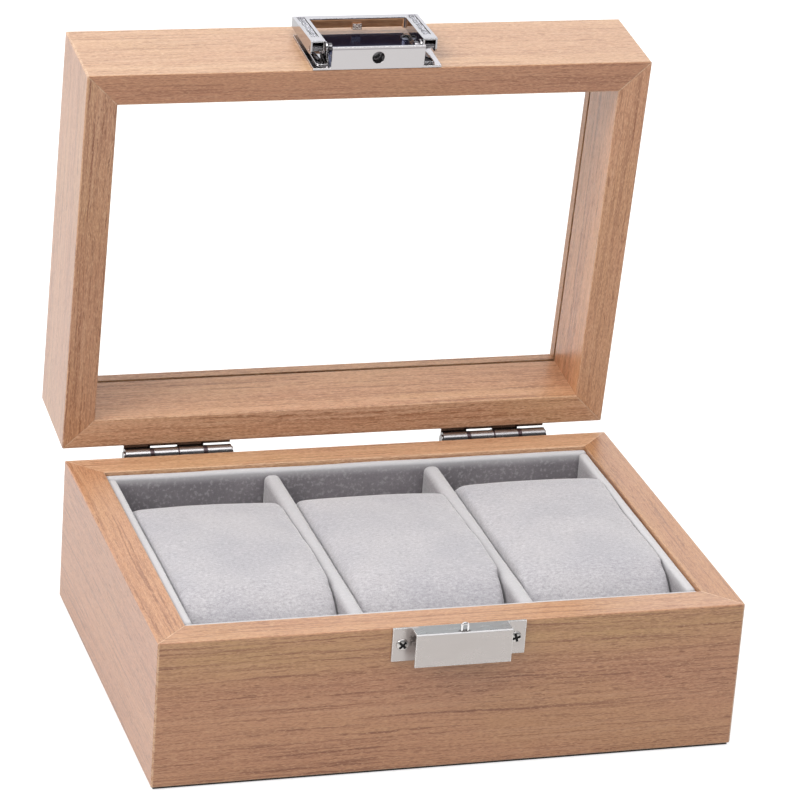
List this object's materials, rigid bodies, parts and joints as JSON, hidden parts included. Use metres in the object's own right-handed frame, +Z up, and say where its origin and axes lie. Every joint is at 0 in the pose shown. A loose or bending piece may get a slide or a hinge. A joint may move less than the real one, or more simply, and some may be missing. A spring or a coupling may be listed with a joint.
{
  "type": "display case",
  "caption": "Hinged wooden display case with a glass lid window, padded velvet bays, lift-out pillows and a chrome bail latch.",
  "frame": {"origin": "middle of the underside of the base, at the flat face that it stands on", "axes": "+X to the right as seen from the latch side, +Y towards the hinges, +Z up; stored with the lid standing open"},
  "size_m": [0.2, 0.1905, 0.2072],
  "materials": {
    "oak_veneer": "satin oak veneer with fine brown flecks",
    "grey_velvet": "short-pile velvet",
    "dark_felt": "felt",
    "polished_steel": "polished",
    "chrome_plate": "polished",
    "satin_nickel": "satin",
    "clear_glass": "clear float glass"
  },
  "bodies": {
    "base": {"base_front": "oak_veneer", "base_back": "oak_veneer", "base_left": "oak_veneer", "base_right": "oak_veneer", "base_board": "oak_veneer", "base_felt": "dark_felt", "lining_front": "grey_velvet", "lining_back": "grey_velvet", "lining_left": "grey_velvet", "lining_right": "grey_velvet", "floor_pad": "grey_velvet", "divider_1": "grey_velvet", "divider_2": "grey_velvet", "hinge_left_base_leaf": "polished_steel", "hinge_right_base_leaf": "polished_steel", "hinge_left_pin": "polished_steel", "hinge_right_pin": "polished_steel", "catch": "satin_nickel", "catch_staple": "chrome_plate", "base_screws": "chrome_plate"},
    "lid": {"lid_front": "oak_veneer", "lid_back": "oak_veneer", "lid_left": "oak_veneer", "lid_right": "oak_veneer", "lid_glass": "clear_glass", "hinge_left_lid_leaf": "polished_steel", "hinge_right_lid_leaf": "polished_steel", "latch_plate": "chrome_plate", "latch_pins": "chrome_plate", "lid_screws": "chrome_plate"},
    "bail": {"latch_bail": "chrome_plate"},
    "pillow_1": {"pillow_1": "grey_velvet"},
    "pillow_2": {"pillow_2": "grey_velvet"},
    "pillow_3": {"pillow_3": "grey_velvet"}
  },
  "joints": [
    {"name": "lid_hinge", "type": "hinge", "parent": "base", "child": "lid", "pos_m": [0, 0.0753, 0.0514], "axis": [1, 0, 0], "range_deg": [0, 83.6]},
    {"name": "bail_pivot", "type": "hinge", "parent": "lid", "child": "bail", "pos_m": [0.0005, 0.06741, 0.20337], "axis": [1, 0, 0], "range_deg": [0, 180]},
    {"name": "pillow_1_lift", "type": "slide", "parent": "base", "child": "pillow_1", "axis": [0, 0, -1], "range_m": [-0.055, 0]},
    {"name": "pillow_2_lift", "type": "slide", "parent": "base", "child": "pillow_2", "axis": [0, 0, -1], "range_m": [-0.055, 0]},
    {"name": "pillow_3_lift", "type": "slide", "parent": "base", "child": "pillow_3", "axis": [0, 0, -1], "range_m": [-0.055, 0]}
  ]
}
